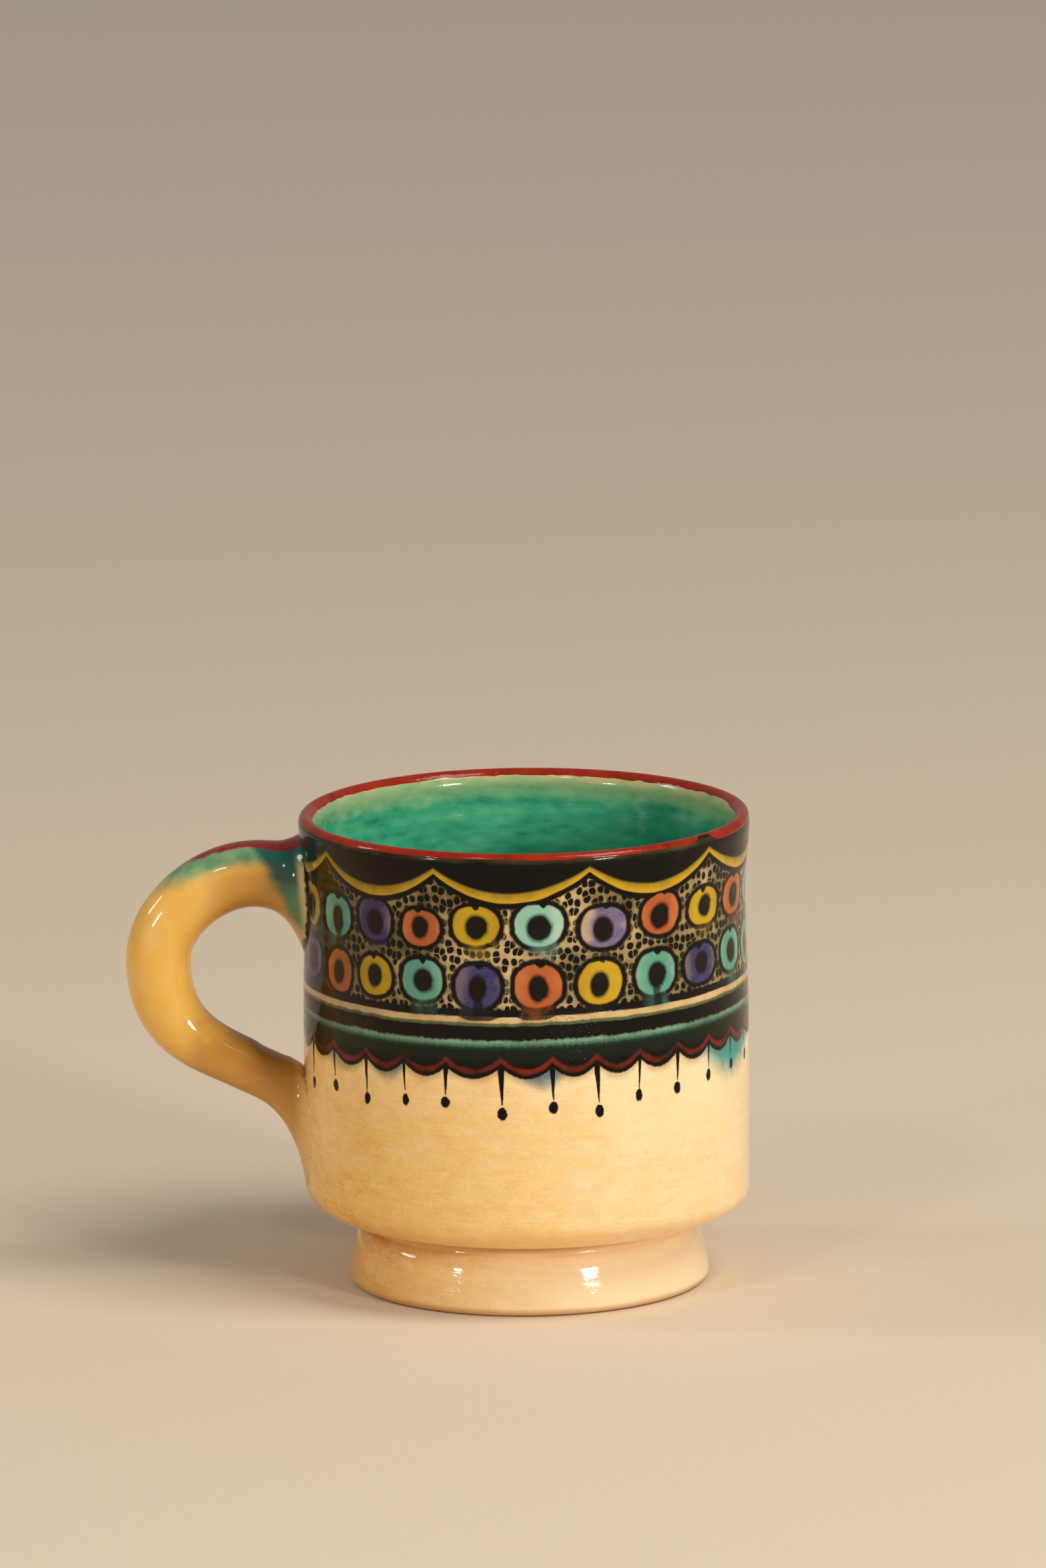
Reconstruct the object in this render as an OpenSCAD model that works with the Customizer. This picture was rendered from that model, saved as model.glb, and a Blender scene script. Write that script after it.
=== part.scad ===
// Earthenware mug: a thrown cup luted onto a turned foot, with one pulled loop handle and its glaze coats.
// Millimetres, +Z up. The origin is on the cup's axis at the underside of the foot, and the handle is on -X.

/* [Cup] */
// Height from the table to the top of the lip
mug_h = 86.5; // [76:0.5:110]
// Outside radius of the wall just above the shoulder
wall_r = 40.3; // [36:0.1:52]
// Thickness of the wall at the lip, with its glaze
wall_t = 3.2; // [2.4:0.1:5]
// Thickness of the wall near the floor, with its glaze
wall_base_t = 4.4; // [3:0.1:7]
// Thickness of the floor, with its glaze
floor_t = 5; // [3:0.1:9]
// Radius of the rounding from the underside to the wall
shoulder_round = 7; // [4:0.1:10]
// How far the underside rises from the neck to that rounding
underside_rise = 1; // [0.6:0.1:4]
// Radius of the rounding between the inner wall and the floor
floor_round = 9; // [4:0.1:14]
// How far the wall swells at the middle of its height
belly_swell = 0.2; // [0:0.1:3]
// How far the wall draws in under the lip
waist_pinch = 0.2; // [0:0.1:2]
// How far the lip turns out past the wall
lip_flare = 0.7; // [0:0.1:3]

/* [Foot] */
// Height from the table to the underside of the cup
foot_h = 12; // [9:0.1:18]
// Largest radius of the foot, just above the table
foot_r = 32.7; // [31.5:0.1:36]
// Radius of the foot's upper edge
foot_edge_r = 31.1; // [30:0.1:33]
// Height of the hollow between the foot's upper edge and its joint with the cup
cove_h = 1.7; // [1:0.1:4]
// Radius of the neck where the foot meets the cup
neck_r = 29.6; // [27:0.1:30.4]
// Rounding of the foot's lower edge, which stays bare
foot_round = 1.5; // [0.6:0.1:3]
// Radius of the recess under the foot
recess_r = 25; // [15:0.1:27]
// Depth of the recess under the foot
recess_h = 6; // [2:0.1:8]
// How far the recess narrows towards its roof
recess_draft = 0.8; // [0:0.1:3]

/* [Handle] */
// Distance from the wall to the middle of the handle at its outermost point
handle_reach = 26.3; // [20:0.1:36]
// Distance from the top of the lip down to the middle of the upper root
upper_root_drop = 14.7; // [13:0.1:20]
// Distance from the top of the shoulder up to the middle of the lower root
lower_root_rise = 8.3; // [6:0.1:16]
// Height of the upper root on the wall
upper_root_h = 21; // [14:0.1:24]
// Height of the lower root on the wall
lower_root_h = 20.6; // [12:0.1:22]
// Width of both roots on the wall
root_w = 16; // [12:0.1:22]
// Thickness of the handle over its crest
crest_t = 12.4; // [8:0.1:15]
// Thickness of the handle at its outermost point
grip_t = 12.2; // [8:0.1:15]
// Thickness of the handle at the start of its tail
tail_t = 9.6; // [6:0.1:13]
// Width of the handle at its outermost point
grip_w = 13.4; // [9:0.1:18]
// Width of the handle at the start of its tail
tail_w = 11.4; // [7:0.1:16]
// Rise of the handle as it leaves the upper root, in degrees
upper_rise = 45; // [20:1:60]
// Slope of the tail at the lower root, in degrees
lower_slope = 78; // [50:1:85]

/* [Coats] */
// Thickness of every glaze coat and of the slip under the handle's roots
glaze_t = 0.4; // [0.2:0.05:0.8]
// Thickness of the slip between the foot and the cup
slip_t = 0.5; // [0.2:0.1:1]
// Height of the painted band under the lip's rounding
painted_h = 38.4; // [20:0.1:50]
// Where the red rim band starts on the outside of the lip's rounding, in degrees
rim_band_start = 35; // [0:1:80]

/* [Hidden] */
$fn = 96;

clay = [0.74, 0.47, 0.28];
slip = [0.84, 0.66, 0.45];
honey = [0.90, 0.70, 0.42];
green = [0.24, 0.56, 0.44];
red = [0.63, 0.16, 0.10];
dark = [0.16, 0.13, 0.10];

// Steps along each rounding, along the wall and along a drawn curve
arc_steps = 10;
wall_steps = 20;
curve_steps = 6;

// Heights and radii that the pieces share
foot_top = foot_h - slip_t;
foot_edge_h = foot_top - cove_h;
floor_z = foot_h + floor_t;
corner_z = floor_z + floor_round;
shoulder_z = foot_h + underside_rise + shoulder_round;
lip_round = wall_t / 2;
lip_z = mug_h - lip_round;
lip_r = wall_r + lip_flare;
painted_z = lip_z - painted_h;

// Where the wall is fullest and where it is drawn in, up its height
belly_share = 0.42;
waist_share = 0.8;
belly_z = mix(shoulder_z, lip_z, belly_share);
waist_z = mix(shoulder_z, lip_z, waist_share);
wall_stations = [
    [shoulder_z, wall_r],
    [belly_z, wall_r + belly_swell],
    [waist_z, wall_r - waist_pinch],
    [lip_z, lip_r],
];

// Where the flare of the foot turns upright, between its bare edge and its upper edge
foot_bend_share = 0.5;

// How far the outermost point lies below the upper root, as a share of the roots' distance
grip_drop_share = 0.28;
// Runs that draw the handle's curves: the first as a share of its reach, the others of the roots' distance
upper_pull_share = 0.5;
crest_pull_share = 0.245;
bow_pull_share = 0.51;
lower_pull_share = 0.39;

// The handle's middle line: two drawn curves that meet at the outermost point
upper_root_z = mug_h - upper_root_drop;
lower_root_z = shoulder_z + lower_root_rise;
root_span = upper_root_z - lower_root_z;
grip = [wall_r + handle_reach, upper_root_z - root_span * grip_drop_share];
upper_root = [wall_at(upper_root_z), upper_root_z];
lower_root = [wall_at(lower_root_z), lower_root_z];
upper_line = [
    upper_root,
    upper_root + handle_reach * upper_pull_share * [cos(upper_rise), sin(upper_rise)],
    grip + [0, root_span * crest_pull_share],
    grip,
];
lower_line = [
    grip,
    grip - [0, root_span * bow_pull_share],
    lower_root + root_span * lower_pull_share * [cos(lower_slope), sin(lower_slope)],
    lower_root,
];

// How much of each curve a root's flare takes up, and how late it opens out
upper_flare_share = 0.26;
lower_flare_share = 0.42;
upper_flare_power = 3;
lower_flare_power = 2.5;
// The part of a flare in which the rings turn from square to the curve to level with the wall
root_turn_share = 0.28;
// Fullness of the handle's section: 1 is an ellipse, less is a squarer strap
section_share = 0.9;
// The handle's rings on each curve, the sides of a ring, and the rings that make up a root
upper_rings = 14;
lower_rings = 18;
ring_sides = 20;
root_rings = 5;
// Rings stand closer together towards the roots: 1 spaces them evenly
ring_crowding = 1.4;
// How far the wall falls away behind the sides of a root and behind the tip of the tail
side_sag = wall_r - sqrt(pow(wall_r, 2) - pow(root_w / 2, 2));
tip_depth = max(0, shoulder_z - (lower_root_z - lower_root_h / 2));
tip_sag = shoulder_round - sqrt(max(0, pow(shoulder_round, 2) - pow(tip_depth, 2)));
// How deep the ends of the glazed loop and of its clay core lie in the wall
root_bite = side_sag + tip_sag + 2 * glaze_t;
core_bite = root_bite + glaze_t;

function mix(a, b, t) = a + (b - a) * t;
function ease(t) = t * t * (3 - 2 * t);
function reverse(list) = [for (i = [len(list) - 1 : -1 : 0]) list[i]];
function tail(list) = [for (i = [1 : len(list) - 1]) list[i]];
function unit(v) = v / norm(v);
function left_of(heading) = [-heading[1], heading[0]];
function power(x, p) = sign(x) * pow(abs(x), p);

function arc(middle, radius, start, stop) = [
    for (i = [0 : arc_steps])
        let (a = mix(start, stop, i / arc_steps))
        middle + radius * [cos(a), sin(a)]
];

function quad(p, t) = mix(mix(p[0], p[1], t), mix(p[1], p[2], t), t);
function quad_line(p) = [for (i = [0 : curve_steps]) quad(p, i / curve_steps)];
function cubic(p, t) = mix(quad([p[0], p[1], p[2]], t), quad([p[1], p[2], p[3]], t), t);
function cubic_heading(p, t) = unit(quad([p[1] - p[0], p[2] - p[1], p[3] - p[2]], t));

// Outside radius of the wall at a height
function wall_span(z) = z < belly_z ? 0 : z < waist_z ? 1 : 2;
function wall_blend(z, low, high) = mix(low[1], high[1], ease(max(0, (z - low[0]) / (high[0] - low[0]))));
function wall_at(z) = wall_blend(z, wall_stations[wall_span(z)], wall_stations[wall_span(z) + 1]);

// Inside radius of the wall at a height
function wall_rise(z) = max(0, (z - shoulder_z) / (lip_z - shoulder_z));
function inner_at(z) = wall_at(z) - mix(wall_base_t, wall_t, wall_rise(z));

// Stretches of the cup's outline, each drawn an inset deep under the glazed face
function wall_line(inset, low, high) = [
    for (i = [0 : wall_steps])
        let (z = mix(low, high, i / wall_steps))
        [wall_at(z) - inset, z]
];
function shoulder_line(inset) = concat(
    [[neck_r - inset, foot_h]],
    arc([wall_r - shoulder_round, shoulder_z], shoulder_round - inset, -90, 0)
);
function lip_line(inset, start, stop) =
    arc([lip_r - lip_round, lip_z], lip_round - inset, start, stop);
function inner_line(inset) = concat(
    [
        for (i = [0 : wall_steps])
            let (z = mix(lip_z, corner_z, i / wall_steps))
            [inner_at(z) + inset, z]
    ],
    tail(arc([inner_at(corner_z) - floor_round, corner_z], floor_round + inset, 0, -90)),
    [[0, floor_z - inset]]
);
function outside_line(inset) = concat(
    shoulder_line(inset),
    tail(wall_line(inset, shoulder_z, lip_z))
);

// The foot's glazed face from its bare edge up to the joint, and the same line an inset deep under it
foot_face = concat(
    quad_line([
        [foot_r, foot_round],
        [foot_r, mix(foot_round, foot_edge_h, foot_bend_share)],
        [foot_edge_r, foot_edge_h],
    ]),
    tail(quad_line([
        [foot_edge_r, foot_edge_h],
        [neck_r, foot_edge_h],
        [neck_r, foot_top],
    ]))
);
function foot_line(inset) = [
    for (i = [0 : len(foot_face) - 1])
        i == 0 || i == len(foot_face) - 1
            ? foot_face[i] - [inset, 0]
            : let (
                before = unit(foot_face[i] - foot_face[i - 1]),
                after = unit(foot_face[i + 1] - foot_face[i])
            )
            foot_face[i] + inset * left_of(before + after) / (1 + before * after)
];

// One coat: the band between a glazed face and the same line under it
module coat(face, under) {
    rotate_extrude()
        polygon(concat(face, reverse(under)));
}

// The cup without its hollow, an inset deep under the glazed face
module cup_bulk(inset) {
    rotate_extrude()
        polygon(concat([[0, foot_h]], outside_line(inset), [[0, lip_z]]));
}

// One ring of the handle: its middle, its outward direction and its two half sizes
function ring(middle, outward, half_t, half_w) = [
    for (i = [0 : ring_sides - 1])
        let (
            a = 360 * i / ring_sides,
            p = middle + outward * half_t * power(cos(a), section_share)
        )
        [-p[0], half_w * power(sin(a), section_share), p[1]]
];

// A ring on the upper curve, where f runs from 1 at the root to 0 at the end of its flare
function upper_ring(t, inset, bite) =
    let (
        f = max(0, 1 - t / upper_flare_share),
        turn = ease(min(1, f / root_turn_share)),
        flare = pow(f, upper_flare_power),
        outward = unit(mix(left_of(cubic_heading(upper_line, t)), [0, 1], turn)),
        half_t = mix(mix(crest_t, grip_t, ease(t)), upper_root_h, flare) / 2,
        half_w = mix(grip_w, root_w, flare) / 2
    )
    ring(cubic(upper_line, t) - [bite, 0], outward, half_t - inset, half_w - inset);

// A ring on the lower curve, where f runs from 0 at the start of the flare to 1 at the root
function lower_ring(t, inset, bite) =
    let (
        f = max(0, 1 - (1 - t) / lower_flare_share),
        turn = ease(min(1, f / root_turn_share)),
        flare = pow(f, lower_flare_power),
        thin = ease(min(1, t / (1 - lower_flare_share))),
        outward = unit(mix(left_of(cubic_heading(lower_line, t)), [0, -1], turn)),
        half_t = mix(mix(grip_t, tail_t, thin), lower_root_h, flare) / 2,
        half_w = mix(mix(grip_w, tail_w, thin), root_w, flare) / 2
    )
    ring(cubic(lower_line, t) - [bite, 0], outward, half_t - inset, half_w - inset);

function handle_rings(inset, bite) = concat(
    [upper_ring(0, inset, bite)],
    [for (i = [0 : upper_rings - 1]) upper_ring(pow(i / upper_rings, ring_crowding), inset, 0)],
    [for (i = [0 : lower_rings]) lower_ring(1 - pow(1 - i / lower_rings, ring_crowding), inset, 0)],
    [lower_ring(1, inset, bite)]
);

// A closed solid through rings of equal counts, with triangles between them and a fan on each end
module skin(rings) {
    n = ring_sides;
    last = (len(rings) - 1) * n;
    sides = [
        for (k = [0 : len(rings) - 2], i = [0 : n - 1])
            let (
                a = k * n + i,
                b = k * n + (i + 1) % n
            )
            each [[a, b + n, b], [a, a + n, b + n]]
    ];
    start_cap = [for (i = [1 : n - 2]) [0, i, i + 1]];
    end_cap = [for (i = [1 : n - 2]) [last, last + i + 1, last + i]];
    polyhedron([for (r = rings) each r], concat(sides, start_cap, end_cap));
}

// The whole loop, and its two roots alone
module handle_loop(inset, bite) {
    skin(handle_rings(inset, bite));
}
module upper_root_plug() {
    rings = handle_rings(0, root_bite);
    skin([for (i = [0 : root_rings]) rings[i]]);
}
module lower_root_plug() {
    rings = handle_rings(0, root_bite);
    first = len(rings) - 1 - root_rings;
    skin([for (i = [first : len(rings) - 1]) rings[i]]);
}

// Cup body thrown on the wheel: wall, floor, rounded shoulder and lip
module thrown_cup() {
    color(clay)
        rotate_extrude()
            polygon(concat(
                [[0, foot_h]],
                outside_line(glaze_t),
                tail(lip_line(glaze_t, 0, 180)),
                tail(inner_line(glaze_t))
            ));
}

// Foot turned on the wheel, flared below, with a recess under it and a bare ring that meets the table
module turned_foot() {
    color(clay)
        rotate_extrude()
            polygon(concat(
                [[0, recess_h], [recess_r - recess_draft, recess_h], [recess_r, 0]],
                arc([foot_r - foot_round, foot_round], foot_round, -90, 0),
                foot_line(glaze_t),
                [[0, foot_top]]
            ));
}

// Clay slip that holds the foot under the cup
module foot_joint_slip() {
    color(slip)
        translate([0, 0, foot_top])
            cylinder(h = slip_t, r = neck_r - glaze_t);
}

// Loop handle pulled from one roll of clay and pressed onto the wall at both ends
module pulled_handle() {
    color(clay)
        difference() {
            handle_loop(glaze_t, core_bite);
            cup_bulk(0);
        }
}

// Clay slip between the upper root and the wall
module upper_joint_slip() {
    color(slip)
        difference() {
            intersection() {
                upper_root_plug();
                cup_bulk(0);
            }
            cup_bulk(glaze_t);
        }
}

// Clay slip between the lower root and the wall
module lower_joint_slip() {
    color(slip)
        difference() {
            intersection() {
                lower_root_plug();
                cup_bulk(0);
            }
            cup_bulk(glaze_t);
        }
}

// Green glaze on the inner wall and the floor
module inside_glaze() {
    color(green)
        coat(inner_line(0), inner_line(glaze_t));
}

// Red slip over the lip
module rim_band() {
    color(red)
        coat(lip_line(0, rim_band_start, 180), lip_line(glaze_t, rim_band_start, 180));
}

// Dark glaze of the upper wall, open where the handle's roots sit
module painted_band() {
    color(dark)
        difference() {
            coat(
                concat(wall_line(0, painted_z, lip_z), tail(lip_line(0, 0, rim_band_start))),
                concat(wall_line(glaze_t, painted_z, lip_z), tail(lip_line(glaze_t, 0, rim_band_start)))
            );
            upper_root_plug();
            lower_root_plug();
        }
}

// Honey glaze of the lower wall and the shoulder, open where the handle's roots sit
module lower_wall_glaze() {
    color(honey)
        difference() {
            coat(
                concat(shoulder_line(0), tail(wall_line(0, shoulder_z, painted_z))),
                concat(shoulder_line(glaze_t), tail(wall_line(glaze_t, shoulder_z, painted_z)))
            );
            upper_root_plug();
            lower_root_plug();
        }
}

// Honey glaze on the outside of the foot, up to the underside of the cup
module foot_glaze() {
    color(honey)
        coat(
            concat(foot_line(0), [[neck_r, foot_h]]),
            concat(foot_line(glaze_t), [[neck_r - glaze_t, foot_h]])
        );
}

// Honey glaze on the handle
module handle_glaze() {
    color(honey)
        difference() {
            handle_loop(0, root_bite);
            handle_loop(glaze_t, core_bite);
            cup_bulk(0);
        }
}

thrown_cup();
turned_foot();
foot_joint_slip();
pulled_handle();
upper_joint_slip();
lower_joint_slip();
inside_glaze();
rim_band();
painted_band();
lower_wall_glaze();
foot_glaze();
handle_glaze();
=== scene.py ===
import math
import types

import bmesh
import bpy
from mathutils import Matrix, Vector, noise


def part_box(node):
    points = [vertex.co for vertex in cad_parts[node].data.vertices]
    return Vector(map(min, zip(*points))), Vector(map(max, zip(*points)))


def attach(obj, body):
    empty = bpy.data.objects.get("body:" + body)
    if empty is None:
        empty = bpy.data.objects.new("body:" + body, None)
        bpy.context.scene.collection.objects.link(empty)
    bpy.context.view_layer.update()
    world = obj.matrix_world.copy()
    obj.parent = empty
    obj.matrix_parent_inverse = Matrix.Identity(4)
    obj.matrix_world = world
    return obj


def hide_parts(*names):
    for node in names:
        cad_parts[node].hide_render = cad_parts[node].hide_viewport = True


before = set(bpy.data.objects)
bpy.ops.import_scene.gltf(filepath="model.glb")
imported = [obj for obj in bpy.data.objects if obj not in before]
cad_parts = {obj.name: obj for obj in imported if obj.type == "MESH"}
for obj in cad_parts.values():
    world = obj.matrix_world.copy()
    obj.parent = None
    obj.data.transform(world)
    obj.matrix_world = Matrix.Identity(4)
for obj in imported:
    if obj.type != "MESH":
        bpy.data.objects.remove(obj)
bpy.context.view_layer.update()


# Thrown cup
# A short cylinder of buff earthenware thrown on the wheel, with a thick floor, a rounded shoulder and
# a soft lip. It is fired once bare, so that the coats that follow it can be brushed on.
mm = 0.001
turn_steps = 180
coat_t = 0.4
neck_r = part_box("foot_joint_slip")[1].x / mm + coat_t
cup_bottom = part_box("thrown_cup")[0].z / mm
floor_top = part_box("inside_glaze")[0].z / mm + coat_t
lip_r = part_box("painted_band")[1].x / mm
lip_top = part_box("rim_band")[1].z / mm
wall_r = 40.3
wall_t = 3.2
wall_base_t = 4.4
shoulder_round = 7
shoulder_h = 5
underside_rise = 1
floor_round = 9
lip_z = lip_top - wall_t / 2
lip_crest_in = 1.3
lip_inner_h = 3.2
shoulder_z = cup_bottom + underside_rise + shoulder_round
corner_z = floor_top + floor_round
wall_stations = [(shoulder_z, wall_r), (47.3, 40.5), (71.9, 40.1), (lip_z, lip_r)]
lip_dip = 0.24
lip_tilt = 0.14
lip_waver = 0.04
oval_depth = 0.09
ridge_depth = 0.018
ridge_pitch = 3.1
lump_depth = 0.05
lump_size = 14


def mix(a, b, t):
    return a + (b - a) * t


def ease(t):
    t = min(1, max(0, t))
    return t * t * (3 - 2 * t)


def spread(low, high, steps):
    return [mix(low, high, i / steps) for i in range(steps + 1)]


def wall_at(z):
    """Outside radius of the wall at a height."""
    for (low, r_low), (high, r_high) in zip(wall_stations, wall_stations[1:]):
        if z <= high:
            return mix(r_low, r_high, ease((z - low) / (high - low)))
    return lip_r


def inner_at(z):
    """Inside radius of the wall at a height."""
    return wall_at(z) - mix(wall_base_t, wall_t, (z - shoulder_z) / (lip_z - shoulder_z))


def arc(middle_r, middle_z, radius, start, stop, steps):
    angles = [math.radians(a) for a in spread(start, stop, steps)]
    return [(middle_r + radius * math.cos(a), middle_z + radius * math.sin(a)) for a in angles]


def shoulder_line(inset):
    """From the neck out under the cup and round the shoulder."""
    rounding = arc(0, 0, 1, -90, 0, 14)
    middle_r, middle_z = wall_r - shoulder_round, shoulder_z - shoulder_round + shoulder_h
    wide, high = shoulder_round - inset, shoulder_h - inset
    rounded = [(middle_r + wide * r, middle_z + high * z) for r, z in rounding]
    return [(neck_r - inset, cup_bottom)] + rounded


def wall_line(inset, low, high, steps):
    return [(wall_at(z) - inset, z) for z in spread(low, high, steps)]


def lip_point(angle, inset):
    """A point of the lip: 0 on the outer wall, 90 on the crest, 180 on the inner wall, which is longer."""
    wide, high = lip_crest_in, lip_top - lip_z
    if angle > 90:
        wide, high = lip_r - lip_crest_in - inner_at(lip_top - lip_inner_h), lip_inner_h
    across = (wide - inset) * math.cos(math.radians(angle))
    up = (high - inset) * math.sin(math.radians(angle))
    return lip_r - lip_crest_in + across, lip_top - high + up


def lip_line(inset, start, stop, steps):
    return [lip_point(angle, inset) for angle in spread(start, stop, steps)]


def inside_line(inset, steps):
    """From the lip down the inner wall, round its corner and across the floor to the axis."""
    wall = [(inner_at(z) + inset, z) for z in spread(lip_top - lip_inner_h, corner_z, steps)]
    corner = arc(inner_at(corner_z) - floor_round, corner_z, floor_round + inset, 0, -90, 12)
    floor = [(r, floor_top - inset) for r in spread(corner[-1][0], 0, 8)]
    return wall + corner[1:] + floor[1:]


def hand_thrown(place):
    """Moves a point as the potter's hands did: a leaning shoulder, a slightly oval wall, a soft lip."""
    x, y, z = place / mm
    angle = math.atan2(x, -y)
    low = ease((z - cup_bottom) / 4) * (1 - ease((z - shoulder_z - 4) / 22))
    lean = low * (-0.35 - 0.55 * math.sin(angle) + 0.75 * math.cos(angle))
    high = ease((z - shoulder_z) / (lip_top - shoulder_z))
    dip = -high * (lip_dip - lip_tilt * math.cos(angle) + lip_waver * math.sin(3 * angle))
    oval = -oval_depth * high * (1 - math.cos(2 * angle - 0.7))
    ridge = ridge_depth * (math.sin(2 * math.pi * z / ridge_pitch + angle) - 1) * low_to_high(z)
    lump = lump_depth * (noise.noise(Vector((x, y, z)) / lump_size) - 1) * low_to_high(z)
    radius = math.hypot(x, y)
    grown = (radius + (oval + ridge + lump) * ease(radius / neck_r)) / max(radius, 1e-6)
    return Vector((x * grown, y * grown, z + lean + dip)) * mm


def low_to_high(z):
    """How much of the wall's small unevenness a height has: none at the neck, all above the shoulder."""
    return ease((z - cup_bottom) / 10)


class Paint:
    """A value, colour or vector in one material's nodes, which takes part in Python sums."""

    def __init__(self, tree, socket):
        self.tree = tree
        self.socket = socket

    def node(self, kind, settings=None, sockets=None, output=0):
        """Adds a node: its settings first, then the values or links of its sockets."""
        made = self.tree.nodes.new(kind)
        for name, value in (settings or {}).items():
            if name == "stops":
                stops = made.color_ramp.elements
                while len(stops) < len(value):
                    stops.new(1)
                for stop, (position, colour) in zip(stops, value):
                    stop.position = position
                    stop.color = colour
            elif name == "interpolation":
                made.color_ramp.interpolation = value
            else:
                setattr(made, name, value)
        for name, value in (sockets or {}).items():
            if isinstance(value, Paint):
                self.tree.links.new(value.socket, made.inputs[name])
            else:
                made.inputs[name].default_value = value
        return Paint(self.tree, made.outputs[output])

    def maths(self, operation, *others):
        return self.node("ShaderNodeMath", {"operation": operation}, dict(enumerate((self, *others))))

    def swapped(self, operation, other):
        return self.node("ShaderNodeMath", {"operation": operation}, {0: other, 1: self})

    def __add__(self, other):
        return self.maths("ADD", other)

    def __sub__(self, other):
        return self.maths("SUBTRACT", other)

    def __mul__(self, other):
        return self.maths("MULTIPLY", other)

    def __truediv__(self, other):
        return self.maths("DIVIDE", other)

    def __pow__(self, other):
        return self.maths("POWER", other)

    def __neg__(self):
        return self.maths("MULTIPLY", -1)

    def __abs__(self):
        return self.maths("ABSOLUTE")

    def __radd__(self, other):
        return self.swapped("ADD", other)

    def __rsub__(self, other):
        return self.swapped("SUBTRACT", other)

    def __rmul__(self, other):
        return self.swapped("MULTIPLY", other)

    def __rtruediv__(self, other):
        return self.swapped("DIVIDE", other)

    def above(self, edge, soft):
        """A mask that goes from 0 to 1 as the value passes an edge, over a soft stretch on each side."""
        settings = {"interpolation_type": "SMOOTHSTEP"}
        return self.node("ShaderNodeMapRange", settings, {0: self, 1: edge - soft, 2: edge + soft})

    def below(self, edge, soft):
        return 1 - self.above(edge, soft)

    def within(self, low, high, soft):
        return self.above(low, soft) * self.below(high, soft)

    def cover(self, under, over):
        """This mask's mix of two colours."""
        settings = {"data_type": "RGBA"}
        return self.node("ShaderNodeMix", settings, {0: self, 6: under, 7: over}, 2)

    def stretched(self, x, y, z):
        settings = {"operation": "MULTIPLY"}
        return self.node("ShaderNodeVectorMath", settings, {0: self, 1: (x, y, z)})

    def cloud(self, size, detail=2.0):
        """Smooth noise from -1 to 1 with patches of about this size in millimetres."""
        sockets = {"Vector": self, "Scale": 1 / (size * mm), "Detail": detail}
        return self.node("ShaderNodeTexNoise", {}, sockets) * 4 - 2

    def cells(self, size):
        """Distance from the middles of scattered cells of about this size in millimetres."""
        return self.node("ShaderNodeTexVoronoi", {}, {"Vector": self, "Scale": 1 / (size * mm)})

    def part(self, axis):
        """One coordinate of a place, in metres, or one channel of a colour."""
        return self.node("ShaderNodeSeparateXYZ", {}, {0: self}, "XYZ".index(axis))


def srgb(red, green, blue):
    """A colour as it is seen, from 0 to 255, as the linear colour that a shader takes."""
    seen = [c / 255 for c in (red, green, blue)]
    return tuple(c / 12.92 if c <= 0.04045 else ((c + 0.055) / 1.055) ** 2.4 for c in seen) + (1,)


def new_material(name):
    """A material with one shader, and the place on the object that its pattern follows."""
    material = bpy.data.materials.new(name)
    material.use_nodes = True
    tree = material.node_tree
    coordinates = tree.nodes.new("ShaderNodeTexCoord")
    return material, Paint(tree, coordinates.outputs["Object"])


def fired(material, colour, roughness, height, gloss=0.32):
    """Links a finish to its shader: colour, roughness, and relief in millimetres."""
    tree = material.node_tree
    shader = tree.nodes["Principled BSDF"]
    shader.inputs["Specular IOR Level"].default_value = gloss
    relief = colour.node("ShaderNodeBump", {}, {"Height": height, "Distance": mm, "Strength": 1.0})
    tree.links.new(colour.socket, shader.inputs["Base Color"])
    tree.links.new(relief.socket, shader.inputs["Normal"])
    if isinstance(roughness, Paint):
        tree.links.new(roughness.socket, shader.inputs["Roughness"])
    else:
        shader.inputs["Roughness"].default_value = roughness


def bare_clay(name, pale, deep):
    """Unglazed earthenware: matt, mottled, with fine grit and the wheel's rings."""
    material, place = new_material(name)
    grit = place.cells(0.5)
    fine = place.cloud(0.35)
    rings = place.stretched(0.2, 0.2, 1).cloud(0.9)
    mottle = (place.cloud(9) * 0.25 + rings * 0.2 + fine * 0.12 + 0.5).maths("MINIMUM", 1)
    colour = mottle.cover(srgb(*pale), srgb(*deep))
    pits = grit.below(0.16, 0.08)
    colour = (pits * 0.5).cover(colour, srgb(120, 72, 42))
    fired(material, colour, 0.78 + fine * 0.06, fine * 0.02 + rings * 0.02 - pits * 0.04)
    return material


clay_finish = bare_clay("bare_clay", (214, 158, 108), (186, 122, 78))
crease_angle = math.radians(40)


def piece(name, bm, material, slot, *nodes):
    """Makes a mesh a piece of the mug, in place of the nodes that it stands for."""
    mesh = bpy.data.meshes.new(name)
    bm.to_mesh(mesh)
    bm.free()
    mesh.shade_smooth()
    mesh.set_sharp_from_angle(angle=crease_angle)
    mesh.materials.append(material)
    made = bpy.data.objects.new(name, mesh)
    bpy.context.scene.collection.objects.link(made)
    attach(made, "root")
    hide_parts(*nodes)


def spun(outline):
    """Turns an outline of radius and height round the axis. One that starts off the axis is closed."""
    bm = bmesh.new()
    step = bm.verts.layers.int.new("step")
    line = [bm.verts.new((r * mm, 0, z * mm)) for r, z in outline]
    for number, vert in enumerate(line):
        vert[step] = number
    edges = [bm.edges.new(pair) for pair in zip(line, line[1:])]
    if outline[0][0] > 0:
        edges.append(bm.edges.new((line[-1], line[0])))
    bmesh.ops.spin(
        bm,
        geom=line + edges,
        axis=(0, 0, 1),
        cent=(0, 0, 0),
        angle=2 * math.pi,
        steps=turn_steps,
        use_merge=True,
    )
    bmesh.ops.remove_doubles(bm, verts=bm.verts, dist=0.001 * mm)
    bmesh.ops.recalc_face_normals(bm, faces=bm.faces)
    return bm


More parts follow.
